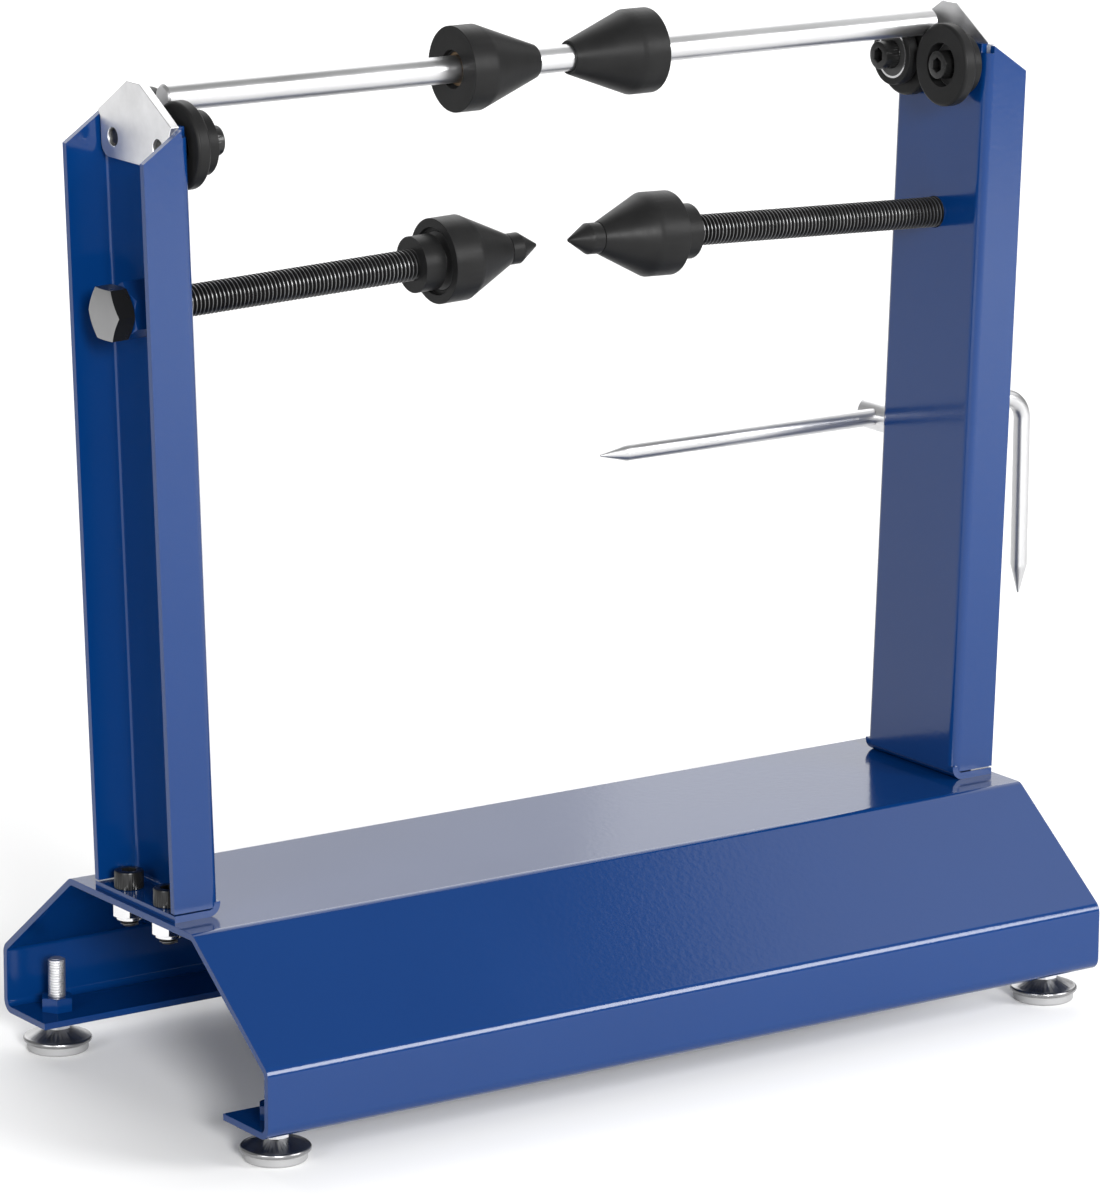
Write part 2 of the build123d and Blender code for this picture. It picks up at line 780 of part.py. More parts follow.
# Assembly: each node's solids by name
def assemble():
    nodes = {
        "base": [make_base()],
        "left_upright": [make_left_upright()],
        "right_upright": [make_right_upright()],
        "upright_screws": make_foot_screws(),
        "upright_nuts": make_foot_screw_nuts(),
        "shaft": [make_shaft()],
        "foot_weld_nuts": make_foot_nuts(),
    }

    plate = upright_frame * make_roller_plate()
    nodes["left_roller_plate"] = [plate]
    nodes["right_roller_plate"] = [on_other_side(plate)]

    rollers = {name: upright_frame * piece for name, piece in make_roller_pair().items()}
    turned_rollers = {name: on_other_side(piece) for name, piece in rollers.items()}
    for kind in ("roller", "bearing"):
        nodes["left_front_" + kind] = [rollers["front_" + kind]]
        nodes["left_rear_" + kind] = [rollers["rear_" + kind]]
        nodes["right_front_" + kind] = [turned_rollers["rear_" + kind]]
        nodes["right_rear_" + kind] = [turned_rollers["front_" + kind]]
    for kind in ("spacer", "bolt"):
        nodes["long_roller_" + kind + "s"] = [rollers["front_" + kind], turned_rollers["front_" + kind]]
        nodes["short_roller_" + kind + "s"] = [rollers["rear_" + kind], turned_rollers["rear_" + kind]]
    nodes["roller_bearing_inner_rings"] = [
        rollers["front_ring"],
        rollers["rear_ring"],
        turned_rollers["front_ring"],
        turned_rollers["rear_ring"],
    ]

    shaft_cone = make_shaft_cone()
    cone_bush = make_cone_bush()
    for name, side in (("left", -1), ("right", 1)):
        nodes[name + "_shaft_cone"] = [place_on_shaft(shaft_cone, side)]
        nodes[name + "_cone_bush"] = [place_on_shaft(cone_bush, side)]

    truing_nut = upright_frame * make_truing_nut()
    nodes["truing_weld_nuts"] = [truing_nut, on_other_side(truing_nut)]
    for kind, solids in make_truing_pieces(left_truing_reach).items():
        nodes["left_" + kind] = [upright_frame * solid for solid in solids]
    for kind, solids in make_truing_pieces(right_truing_reach).items():
        nodes["right_" + kind] = [on_other_side(upright_frame * solid) for solid in solids]

    foot_pieces = {"foot_pad": make_foot_pad(), "foot_cup": make_foot_cup(), "foot_stud": make_foot_stud()}
    for place, (x, y) in foot_places.items():
        for kind, piece in foot_pieces.items():
            nodes[place + "_" + kind] = [Pos(x, y, 0) * piece]

    nodes["pointer_eye_bolt"] = [make_eye_bolt()]
    nodes["pointer_eye_nut"] = [make_eye_nut()]
    nodes["pointer"] = [make_pointer()]
    return nodes


os.makedirs("parts", exist_ok=True)
for node_name, solids in assemble().items():
    shape = solids[0] if len(solids) == 1 else Compound(children=solids)
    export_step(shape, os.path.join("parts", node_name + ".step"))

print("base top", base_top_z, "shaft axis", shaft_z, "roller rise", roller_rise)
print("web at the base top", web_x, "truing rise", truing_rise, "pointer", eye_x, eye_y, pointer_z)
for side_name, reach in (("left", left_truing_reach), ("right", right_truing_reach)):
    print(side_name, "truing travel", reach - collar_back - truing_end_clearance)
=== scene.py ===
import json
import math

import bmesh
import bpy
from mathutils import Matrix, Vector

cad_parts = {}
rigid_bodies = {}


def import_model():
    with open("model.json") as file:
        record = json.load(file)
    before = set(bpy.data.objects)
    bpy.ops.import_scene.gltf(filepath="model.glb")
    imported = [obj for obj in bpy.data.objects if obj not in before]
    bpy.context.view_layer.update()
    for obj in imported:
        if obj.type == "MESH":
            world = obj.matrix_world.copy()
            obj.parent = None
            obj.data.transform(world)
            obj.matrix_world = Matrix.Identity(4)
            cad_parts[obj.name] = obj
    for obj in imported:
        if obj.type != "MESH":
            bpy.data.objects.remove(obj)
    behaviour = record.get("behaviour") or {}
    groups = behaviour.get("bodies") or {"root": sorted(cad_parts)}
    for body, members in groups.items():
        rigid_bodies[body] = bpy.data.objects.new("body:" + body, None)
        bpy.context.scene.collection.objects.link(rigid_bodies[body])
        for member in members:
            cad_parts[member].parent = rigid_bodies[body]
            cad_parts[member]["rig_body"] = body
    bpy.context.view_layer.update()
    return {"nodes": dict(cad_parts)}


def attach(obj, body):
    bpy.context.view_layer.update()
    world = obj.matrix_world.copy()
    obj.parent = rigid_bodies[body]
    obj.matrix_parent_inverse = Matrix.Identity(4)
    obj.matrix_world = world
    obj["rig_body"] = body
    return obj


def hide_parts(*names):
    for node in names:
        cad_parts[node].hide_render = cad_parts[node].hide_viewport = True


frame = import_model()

scene = bpy.context.scene
nodes = frame["nodes"]
mm = 0.001


class Wire:
    # one output of a node, so that maths on it can be written in Python
    def __init__(self, sheet, socket):
        self.sheet = sheet
        self.socket = socket

    def __add__(self, other):
        return self.sheet.maths("ADD", self, other)

    def __radd__(self, other):
        return self.sheet.maths("ADD", other, self)

    def __sub__(self, other):
        return self.sheet.maths("SUBTRACT", self, other)

    def __rsub__(self, other):
        return self.sheet.maths("SUBTRACT", other, self)

    def __mul__(self, other):
        return self.sheet.maths("MULTIPLY", self, other)

    def __rmul__(self, other):
        return self.sheet.maths("MULTIPLY", other, self)

    def __truediv__(self, other):
        return self.sheet.maths("DIVIDE", self, other)

    def __rtruediv__(self, other):
        return self.sheet.maths("DIVIDE", other, self)

    def smallest(self, other):
        return self.sheet.maths("MINIMUM", self, other)

    def output(self, name):  # another output of the same node
        return Wire(self.sheet, self.socket.node.outputs[name])

    def between(self, low, high):  # 0 at low, 1 at high, straight between
        sockets = {"Value": self, "From Min": low, "From Max": high}
        return self.sheet.node("ShaderNodeMapRange", None, sockets)


class Sheet:
    # a node tree, which gets its nodes through node()
    def maths(self, operation, first, second=0.0):
        return self.node("ShaderNodeMath", {"operation": operation}, {0: first, 1: second})

    def node(self, kind, settings=None, sockets=None, output=0):
        made = self.tree.nodes.new(kind)
        for key, value in (settings or {}).items():
            if key == "stops":
                self.setStops(made.color_ramp, value)
            else:
                setattr(made, key, value)
        for key, value in (sockets or {}).items():
            self.feed(made.inputs[key], value)
        if len(made.outputs):
            return Wire(self, made.outputs[output])

    def feed(self, socket, value):
        if isinstance(value, Wire):
            self.tree.links.new(value.socket, socket)
        else:
            socket.default_value = value

    def setStops(self, ramp, stops):  # (position, grey) pairs
        while len(ramp.elements) < len(stops):
            ramp.elements.new(0.5)
        for element, (position, grey) in zip(ramp.elements, stops):
            element.position = position
            element.color = (grey, grey, grey, 1)


class Paint(Sheet):
    # a material
    def __init__(self, name):
        self.material = bpy.data.materials.new(name)
        self.material.use_nodes = True
        self.tree = self.material.node_tree
        self.tree.nodes.clear()

    def place(self):
        return self.node("ShaderNodeTexCoord", output="Object")

    def stored(self, name, output):  # an attribute that the mesh holds
        return self.node("ShaderNodeAttribute", {"attribute_name": name}, None, output)

    def noise(self, where, scale, detail=2.0, roughness=0.5):
        sockets = {"Vector": where, "Scale": scale, "Detail": detail, "Roughness": roughness}
        return self.node("ShaderNodeTexNoise", None, sockets)

    def mix(self, factor, first, second):  # each colour is a wire, or red, green and blue
        sockets = {0: factor}
        for key, colour in ((6, first), (7, second)):
            sockets[key] = colour if isinstance(colour, Wire) else (*colour, 1)
        return self.node("ShaderNodeMix", {"data_type": "RGBA"}, sockets, 2)

    def ramp(self, factor, *stops):
        return self.node("ShaderNodeValToRGB", {"stops": stops}, {"Fac": factor})

    def bump(self, height, strength, distance):
        sockets = {"Height": height, "Strength": strength, "Distance": distance}
        return self.node("ShaderNodeBump", None, sockets)

    def finish(self, **values):
        named = {key.replace("_", " "): value for key, value in values.items()}
        shader = self.node("ShaderNodeBsdfPrincipled", None, named)
        self.node("ShaderNodeOutputMaterial", None, {"Surface": shader})
        return self.material


class Maker(Sheet):
    # a Geometry Nodes tree with named inputs
    def __init__(self, name, **inputs):
        self.tree = bpy.data.node_groups.new(name, "GeometryNodeTree")
        face = self.tree.interface
        face.new_socket("Geometry", in_out="OUTPUT", socket_type="NodeSocketGeometry")
        face.new_socket("Points", in_out="INPUT", socket_type="NodeSocketGeometry")
        for label, kind in inputs.items():
            face.new_socket(label, in_out="INPUT", socket_type="NodeSocket" + kind)
        self.entry = self.tree.nodes.new("NodeGroupInput")

    def given(self, label):
        return Wire(self, self.entry.outputs[label])

    def point(self, x=0.0, y=0.0, z=0.0):
        return self.node("ShaderNodeCombineXYZ", None, {"X": x, "Y": y, "Z": z})

    def spot(self):  # each vertex's own x, with y and z as further outputs
        here = self.node("GeometryNodeInputPosition")
        return self.node("ShaderNodeSeparateXYZ", None, {"Vector": here})

    def moved(self, shape, z, turn=(0, 0, 0)):
        sockets = {"Geometry": shape, "Translation": self.point(z=z), "Rotation": turn}
        return self.node("GeometryNodeTransform", None, sockets)

    def join(self, *shapes):
        made = self.tree.nodes.new("GeometryNodeJoinGeometry")
        for shape in reversed(shapes):
            self.tree.links.new(shape.socket, made.inputs[0])
        return Wire(self, made.outputs[0])

    def choose(self, number, values):  # the value that stands at that number
        made = self.node("GeometryNodeIndexSwitch", {"data_type": "FLOAT"}, {"Index": number})
        switch = made.socket.node
        while len(switch.index_switch_items) < len(values):
            switch.index_switch_items.new()
        for place, value in enumerate(values):
            self.feed(switch.inputs[place + 1], value)
        return made

    def turned(self, sides, *rings):
        # a closed shape round Z from (radius, height) rings, with the low end first
        steps = len(rings) - 1
        sockets = {"Vertices": sides, "Side Segments": steps, "Radius": 1.0, "Depth": float(steps)}
        tube = self.node("GeometryNodeMeshCylinder", {"fill_type": "NGON"}, sockets)
        here = self.spot()
        number = self.maths("ROUND", here.output("Z") + steps / 2)
        radius = self.choose(number, [ring[0] for ring in rings])
        height = self.choose(number, [ring[1] for ring in rings])
        place = self.point(here * radius, here.output("Y") * radius, height)
        return self.node("GeometryNodeSetPosition", None, {"Geometry": tube, "Position": place})

    def hexagonShare(self):  # how far a hexagon's edge stands out, 1 at the middle of a flat
        here = self.spot()
        angle = self.maths("ARCTAN2", here.output("Y"), here)
        along = self.maths("FLOORED_MODULO", angle, math.pi / 3) - math.pi / 6
        return 1 / self.maths("COSINE", along)

    def close(self, shape):
        whole = self.node("GeometryNodeRealizeInstances", None, {"Geometry": shape})
        sockets = {"Geometry": whole, "Material": self.given("Material")}
        coated = self.node("GeometryNodeSetMaterial", None, sockets)
        self.node("NodeGroupOutput", None, {"Geometry": coated})
        return self.tree


# finishes

def grey(value):  # a very little blue
    return (value, value, value * 1.01)


coat = dict(
    blue=(0.0012, 0.0255, 0.116), deep=(0.0007, 0.021, 0.099), rough=0.085,
    cloudPerMetre=9, peelPerMetre=420, grainPerMetre=2940, peelDepth=0.3 * mm,
)


def powderCoat():
    paint = Paint("powderCoat")
    where = paint.place()
    cloud = paint.noise(where, coat["cloudPerMetre"], 3)
    peel = paint.noise(where, coat["peelPerMetre"], 1.5)
    grain = paint.noise(where, coat["grainPerMetre"], 1)
    return paint.finish(
        Base_Color=paint.mix(cloud, coat["deep"], coat["blue"]), IOR=1.45,
        Roughness=cloud * 0.05 + grain * 0.03 + coat["rough"],
        Normal=paint.bump(peel + grain * 0.12, 0.10, coat["peelDepth"]),
    )


plating = dict(light=0.88, dull=0.70, cloudPerMetre=38, fleckPerMetre=2600, fleckDepth=0.1 * mm)


def zincPlate(name, rough, spread, paintedDarkening=1.0):
    # cloudy zinc, where spread is how far its roughness wanders and the last factor darkens the
    # colour, used for a painted dark reflection
    paint = Paint(name)
    where = paint.place()
    cloud = paint.noise(where, plating["cloudPerMetre"], 4, 0.6)
    fleck = paint.noise(where, plating["fleckPerMetre"], 1)
    tone = paint.ramp(cloud, (0.35, 0), (0.68, 1))
    dull, light = grey(plating["dull"] * paintedDarkening), grey(plating["light"] * paintedDarkening)
    return paint.finish(
        Base_Color=paint.mix(tone, dull, light), Metallic=1.0,
        Roughness=cloud * spread + fleck * 0.05 + rough,
        Normal=paint.bump(fleck + cloud * 0.6, 0.08, plating["fleckDepth"]),
    )


satin = dict(
    dull=grey(0.50), light=grey(0.60), rough=0.27,
    hazePerMetre=35, grainPerMetre=1400, grainDepth=0.05 * mm,
)


def chrome():
    paint = Paint("chrome")
    where = paint.place()
    haze = paint.noise(where, satin["hazePerMetre"], 3)
    grain = paint.noise(where, satin["grainPerMetre"], 1)
    return paint.finish(
        Base_Color=paint.mix(haze, satin["dull"], satin["light"]), Metallic=1.0,
        Roughness=haze * 0.14 + satin["rough"],
        Normal=paint.bump(grain, 0.03, satin["grainDepth"]),
    )


toolMarks = dict(linePerMetre=5200, broadPerMetre=700, stainPerMetre=60, depth=0.08 * mm)


def turned(name, dark, light, metallic, rough, marked):
    # rings round the axis, because "turned" holds each vertex's distance along it and from it
    paint = Paint(name)
    rings = paint.stored("turned", "Vector")
    line = paint.noise(rings, toolMarks["linePerMetre"], 2, 0.7)
    broad = paint.noise(rings, toolMarks["broadPerMetre"], 1)
    stain = paint.noise(paint.place(), toolMarks["stainPerMetre"], 3)
    return paint.finish(
        Base_Color=paint.mix(stain, dark, light), Metallic=metallic, IOR=1.2,
        Roughness=broad * 0.10 + stain * 0.08 + rough,
        Normal=paint.bump(line + broad * 0.5, marked, toolMarks["depth"]),
    )


# greys: black oxide, thread tops lighter for wear and a painted highlight, and a head's end face
# lighter as a painted reflection
oxide = dict(
    black=grey(0.009), crest=grey(0.17), bare=grey(0.27), rough=0.22,
    stainPerMetre=90, grainPerMetre=2200, grainDepth=0.08 * mm,
)


def blackOxide():
    # brighter on the tops of a thread, partly wear and partly painted highlight, and a painted
    # reflection on a head's end face, both stored with the mesh
    paint = Paint("blackOxide")
    where = paint.place()
    stain = paint.noise(where, oxide["stainPerMetre"], 3)
    grain = paint.noise(where, oxide["grainPerMetre"], 1)
    wear = paint.ramp(stain, (0.3, 0.35), (0.7, 1.0))
    crest = paint.stored("crest", "Fac").between(0.9, 1.0) * wear
    bare = paint.stored("bare", "Fac")
    wearAndHighlight = paint.mix(crest, oxide["black"], oxide["crest"])
    return paint.finish(
        Base_Color=paint.mix(bare, wearAndHighlight, oxide["bare"]), IOR=1.5,
        Metallic=(crest + bare).smallest(1.0) * 0.5 + 0.35,
        Roughness=stain * 0.14 + oxide["rough"] + bare * 0.14,
        Normal=paint.bump(grain, 0.06, oxide["grainDepth"]),
    )


bearing = dict(
    shield=grey(0.03), ring=grey(0.66), shieldRadius=9.9 * mm, ringRadius=10.1 * mm,
    linePerMetre=4200, lineDepth=0.05 * mm,
)


def bearingFace():
    # a bright outer ring round a dark shield, by the distance from the axis
    paint = Paint("bearingFace")
    rings = paint.stored("turned", "Vector")
    away = paint.node("ShaderNodeSeparateXYZ", None, {"Vector": rings}, "Y")
    ring = away.between(bearing["shieldRadius"], bearing["ringRadius"])
    line = paint.noise(rings, bearing["linePerMetre"], 1)
    return paint.finish(
        Base_Color=paint.mix(ring, bearing["shield"], bearing["ring"]),
        Metallic=ring * 0.7 + 0.3, Roughness=0.42 - ring * 0.2,
        Normal=paint.bump(line, 0.1, bearing["lineDepth"]),
    )


# the pad's greys are dark as painted shadow, standing in for the contact shadow along the feet's
# bottom
padPaintedShadow = dict(
    dark=grey(0.22), light=grey(0.30), rough=0.42,
    mottlePerMetre=40, sheenPerMetre=300, grainPerMetre=1800, grainDepth=0.1 * mm,
)


def nylon():
    paint = Paint("nylon")
    where = paint.place()
    mottle = paint.noise(where, padPaintedShadow["mottlePerMetre"], 3)
    sheen = paint.noise(where, padPaintedShadow["sheenPerMetre"])
    grain = paint.noise(where, padPaintedShadow["grainPerMetre"], 2)
    return paint.finish(
        Base_Color=paint.mix(mottle, padPaintedShadow["dark"], padPaintedShadow["light"]),
        Roughness=sheen * 0.12 + padPaintedShadow["rough"],
        Normal=paint.bump(grain, 0.12, padPaintedShadow["grainDepth"]),
    )


# by the piece's slot, or by the paint that it asks for
paints = {
    "blue_powder_coat": powderCoat(),
    "zinc": zincPlate("zincPlate", 0.24, 0.22),
    "nut": zincPlate("zincNut", 0.12, 0.12),
    # the cups' zinc darkened to 0.40 as a painted reflection of the dark base above them
    "cup": zincPlate("zincCupPaintedDark", 0.20, 0.14, 0.40),
    "chrome": chrome(),
    "ground_steel": turned("groundSteel", grey(0.46), grey(0.58), 1.0, 0.16, 0.12),
    "black_turned": turned("blackTurned", grey(0.006), grey(0.014), 0.0, 0.31, 0.24),
    "black_oxide": blackOxide(),
    # near-black steel as painted shade, because the truing bearing sits in a recess
    "recess_shaded_steel": turned("recessShadedSteel", grey(0.05), grey(0.10), 0.8, 0.36, 0.15),
    # bronze kept dark as painted shade, because the bush sits in a recess
    "bronze": turned("bronze", (0.14, 0.10, 0.06), (0.22, 0.15, 0.09), 1.0, 0.34, 0.15),
    "bearing": bearingFace(),
    "nylon": nylon(),
}
print("finishes ready:", len(paints))


# where things are

upright = dict(lean=math.radians(2), web=199.5 * mm, foot=92 * mm)


def uprightFrame(side):  # x inwards, z up along the web, y rearwards on the left one only
    lean, out = upright["lean"], 1 if side == "right" else -1
    inward = Vector((-out * math.cos(lean), 0, math.sin(lean)))
    up = Vector((out * math.sin(lean), 0, math.cos(lean)))
    across = up.cross(inward)
    place = Matrix.Identity(4)
    for column, direction in enumerate((inward, across, up)):
        place.col[column][:3] = direction
    place.col[3][:3] = (out * upright["web"], 0, upright["foot"])
    return place


frames = {side: uprightFrame(side) for side in ("left", "right")}


def axisOf(side, x, y, up):  # a line square to a web
    place = frames[side]
    return place @ Vector((x, y, up)), place.to_3x3() @ Vector((1, 0, 0))


# pieces

def linked(name, mesh):
    piece = bpy.data.objects.new(name, mesh)
    scene.collection.objects.link(piece)
    return piece


def flatten(piece):  # the modifiers become plain mesh
    ready = piece.evaluated_get(bpy.context.evaluated_depsgraph_get())
    mesh = bpy.data.meshes.new_from_object(ready)
    piece.modifiers.clear()
    piece.data = mesh


def settle(piece, node):
    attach(piece, nodes[node]["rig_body"])
    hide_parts(node)


def storeTurned(mesh, start, direction):
    spread = mesh.attributes.new("turned", "FLOAT_VECTOR", "POINT")
    for vertex, value in zip(mesh.vertices, spread.data):
        offset = vertex.co - start
        length = offset.dot(direction)
        value.vector = (length, (offset - direction * length).length, 0)


edges = dict(sharpAngle=math.radians(32), flatAngle=math.radians(0.5), weld=0.002 * mm)


def dress(node, slot, bevel, paint=None, axis=None, segments=2):
    # a CAD node's shape with its edges rounded by bevel, in mm
    mesh = bpy.data.meshes.new(node + "_piece")
    shape = bmesh.new()
    shape.from_mesh(nodes[node].data)
    bmesh.ops.remove_doubles(shape, verts=shape.verts, dist=edges["weld"])
    if not axis:  # a turned piece keeps its triangles, which carry the stored distances
        bmesh.ops.dissolve_limit(
            shape, angle_limit=edges["flatAngle"], verts=shape.verts, edges=shape.edges
        )
    for face in shape.faces:
        face.smooth = True
        face.material_index = 0
    shape.to_mesh(mesh)
    shape.free()
    for stale in ("custom_normal", "sharp_face", "sharp_edge"):
        if stale in mesh.attributes:
            mesh.attributes.remove(mesh.attributes[stale])
    mesh.materials.append(paints[paint or slot])
    piece = linked(node + "_piece", mesh)
    if bevel:
        edge = piece.modifiers.new("edge", "BEVEL")
        edge.width = bevel * mm
        edge.segments = segments
        edge.limit_method = "ANGLE"
        edge.angle_limit = edges["sharpAngle"]
        edge.miter_outer = "MITER_ARC"
    else:
        mesh.set_sharp_from_angle(angle=edges["sharpAngle"])
    weigh = piece.modifiers.new("weigh", "WEIGHTED_NORMAL")
    weigh.keep_sharp = True
    flatten(piece)
    if axis:
        storeTurned(piece.data, *axis)
    settle(piece, node)


shaft = dict(rise=443.5798 * mm)
roller = dict(rise=334.3 * mm, apart=18.5 * mm)
truing = dict(rise=263 * mm)
shaftLine = Vector((0, 0, shaft["rise"])), Vector((1, 0, 0))

for node in ("base", "left_upright", "right_upright"):
    dress(node, "blue_powder_coat", 0.4, segments=3)
for node in ("truing_weld_nuts", "foot_weld_nuts"):
    dress(node, "blue_powder_coat", 0.5)
for node in ("left_roller_plate", "right_roller_plate"):
    dress(node, "zinc", 0.35)
dress("upright_nuts", "zinc", 0.3, paint="nut")
dress("shaft", "chrome", 0.0, axis=shaftLine)
for side in ("left", "right"):
    truingLine = axisOf(side, 0, 0, truing["rise"])
    dress(side + "_shaft_cone", "black_turned", 0.25, axis=shaftLine)
    dress(side + "_cone_bush", "bronze", 0.15, axis=shaftLine)
    dress(side + "_truing_spindle", "black_turned", 0.25, axis=truingLine)
    dress(side + "_truing_point", "black_turned", 0.1, axis=truingLine)
    dress(side + "_truing_cone", "black_turned", 0.25, axis=truingLine)
    # the truing bearing is painted dark as painted shade in its recess
    dress(side + "_truing_bearing", "ground_steel", 0.15, paint="recess_shaded_steel", axis=truingLine)
    for row, out in (("front", -1), ("rear", 1)):
        y = out * roller["apart"] * (1 if side == "left" else -1)
        rollerLine = axisOf(side, 0, y, roller["rise"])
        dress(f"{side}_{row}_roller", "black_turned", 0.25, axis=rollerLine)
        dress(f"{side}_{row}_bearing", "ground_steel", 0.12, paint="bearing", axis=rollerLine)
        dress(f"{row}_{side}_foot_pad", "nylon", 0.4)
        dress(f"{row}_{side}_foot_cup", "zinc", 0.2, paint="cup")
for node in ("long_roller_spacers", "short_roller_spacers", "roller_bearing_inner_rings"):
    dress(node, "ground_steel", 0.1)
dress("pointer", "chrome", 0.0)
dress("pointer_eye_bolt", "zinc", 0.25)
dress("pointer_eye_nut", "zinc", 0.2)
print("turned and bent pieces ready")


# threads and screws

# shares of the pitch, but sunk is a share of the depth
threadForm = dict(depth=0.6134, root=0.46, top=0.08, sunk=0.1, taper=0.3)


def threadTree():
    made = Maker(
        "thread", Length="Float", Diameter="Float", Pitch="Float", Sides="Int",
        Material="Material",
    )
    length, pitch = made.given("Length"), made.given("Pitch")
    depth = pitch * threadForm["depth"]
    core = made.given("Diameter") * 0.5 - depth
    turns = (length - pitch * 0.5) / pitch
    sockets = {
        "Resolution": made.given("Sides"), "Rotations": turns, "Start Radius": core,
        "End Radius": core, "Height": turns * pitch, "Reverse": True,
    }
    spiral = made.node("GeometryNodeCurveSpiral", None, sockets)
    spiral = made.node("GeometryNodeSetCurveNormal", {"mode": "Z_UP"}, {"Curve": spiral})
    factor = made.node("GeometryNodeSplineParameter")
    fade = (factor * turns).smallest((1 - factor) * turns).smallest(1.0)  # over a turn
    spiral = made.node("GeometryNodeSetCurveRadius", None, {"Curve": spiral, "Radius": fade})
    root, top, sunk = threadForm["root"], threadForm["top"], depth * -threadForm["sunk"]
    sockets = {
        "Point 1": made.point(sunk, pitch * -root), "Point 2": made.point(depth, pitch * -top),
        "Point 3": made.point(depth, pitch * top), "Point 4": made.point(sunk, pitch * root),
    }
    outline = made.node("GeometryNodeCurvePrimitiveQuadrilateral", {"mode": "POINTS"}, sockets)
    sockets = {"Curve": spiral, "Profile Curve": outline, "Fill Caps": True}
    ridge = made.node("GeometryNodeCurveToMesh", None, sockets)
    taper = pitch * threadForm["taper"]
    rod = made.turned(
        made.given("Sides"), (core, 0.0), (core, length - pitch * 0.5), (core - taper, length)
    )
    return made.close(made.join(made.moved(ridge, pitch * 0.25), rod))


hexagonForm = dict(sides=48, face=0.492)  # the end face's radius as a share of the width


def hexagonBar(made, low, high, width, slope=0.32):  # its corners are turned down at both ends
    edge = made.hexagonShare() * width * 0.5
    face = width * hexagonForm["face"]
    drop = (edge - face) * slope
    rings = (face, low), (edge, low + drop), (edge, high - drop), (face, high)
    return made.turned(hexagonForm["sides"], *rings)


rodSizes = dict(Diameter="Float", Pitch="Float", Sides="Int", Material="Material")


def threadIn(made, length, z=0.0, turn=(0, 0, 0)):
    sockets = {label: made.given(label) for label in rodSizes}
    sockets["Length"] = length
    rod = made.node("GeometryNodeGroup", {"node_tree": thread}, sockets)
    return made.moved(rod, z, turn)


# the rim is a share of the head's height, ridge and foot are shares of its radius
headForm = dict(rim=0.09, ridge=0.035, foot=0.93)


def socketScrewTree():
    made = Maker(
        "socketScrew", Head="Float", Height="Float", Socket="Float", Depth="Float",
        Shank="Float", Ridges="Int", **rodSizes
    )
    radius, height = made.given("Head") * 0.5, made.given("Height")
    rim = height * headForm["rim"]
    odd = made.maths("MODULO", made.node("GeometryNodeInputIndex"), 2.0)
    ridged = radius - odd * radius * headForm["ridge"]
    key = made.hexagonShare() * made.given("Socket") * 0.5
    head = made.turned(
        made.given("Ridges") * 2,
        (radius * headForm["foot"], 0.0), (ridged, rim * 0.4), (ridged, height - rim),
        (radius - rim * 0.35, height - rim * 0.3), (radius - rim, height),
        (key + rim * 0.4, height), (key, height - rim * 0.4), (key, height - made.given("Depth")),
    )
    whole = made.join(head, threadIn(made, made.given("Shank"), turn=(math.pi, 0, 0)))
    settings = {"data_type": "FLOAT_VECTOR"}
    aim = made.node("GeometryNodeInputNamedAttribute", settings, {"Name": "aim"})
    turn = made.node("FunctionNodeAlignRotationToVector", {"axis": "Z"}, {"Vector": aim})
    sockets = {"Points": made.given("Points"), "Instance": whole, "Rotation": turn}
    return made.close(made.node("GeometryNodeInstanceOnPoints", None, sockets))


def hexagonScrewTree():
    made = Maker("hexagonScrew", Width="Float", Height="Float", Length="Float", **rodSizes)
    head = hexagonBar(made, made.given("Height") * -1, 0.0, made.given("Width"))
    return made.close(made.join(head, threadIn(made, made.given("Length"))))


studForm = dict(sides=32, core=0.44, slope=0.35)  # the plain end's radius by the diameter


def footStudTree():
    made = Maker(
        "footStud", Width="Float", Low="Float", High="Float", Foot="Float", Top="Float",
        **rodSizes
    )
    low, high = made.given("Low"), made.given("High")
    core = made.given("Diameter") * studForm["core"]
    collar = hexagonBar(made, low, high, made.given("Width"), studForm["slope"])
    shank = made.turned(
        studForm["sides"], (core, made.given("Foot")), (core, low + core * 0.1)
    )
    rod = threadIn(made, made.given("Top") - high, z=high)
    return made.close(made.join(collar, shank, rod))


thread = threadTree()
trees = dict(
    socketScrew=socketScrewTree(), hexagonScrew=hexagonScrewTree(), footStud=footStudTree()
)


def grown(name, tree, sizes, points=((0, 0, 0),), aims=None):
    # a tree's shape at each point, turned along its aim
    mesh = bpy.data.meshes.new(name)
    mesh.from_pydata([tuple(point) for point in points], [], [])
    if aims:
        aim = mesh.attributes.new("aim", "FLOAT_VECTOR", "POINT")
        for value, direction in zip(aim.data, aims):
            value.vector = direction
    piece = linked(name, mesh)
    shape = piece.modifiers.new("shape", "NODES")
    shape.node_group = trees[tree]
    for item in shape.node_group.interface.items_tree:
        if item.in_out == "INPUT" and item.name in sizes:
            shape[item.identifier] = sizes[item.name]
    flatten(piece)
    return piece


# how near a thread's top the wear and painted highlight reaches, and the angle of sharp thread
# edges
wearAndHighlight = dict(reach=0.12 * mm, threadAngle=math.radians(28))


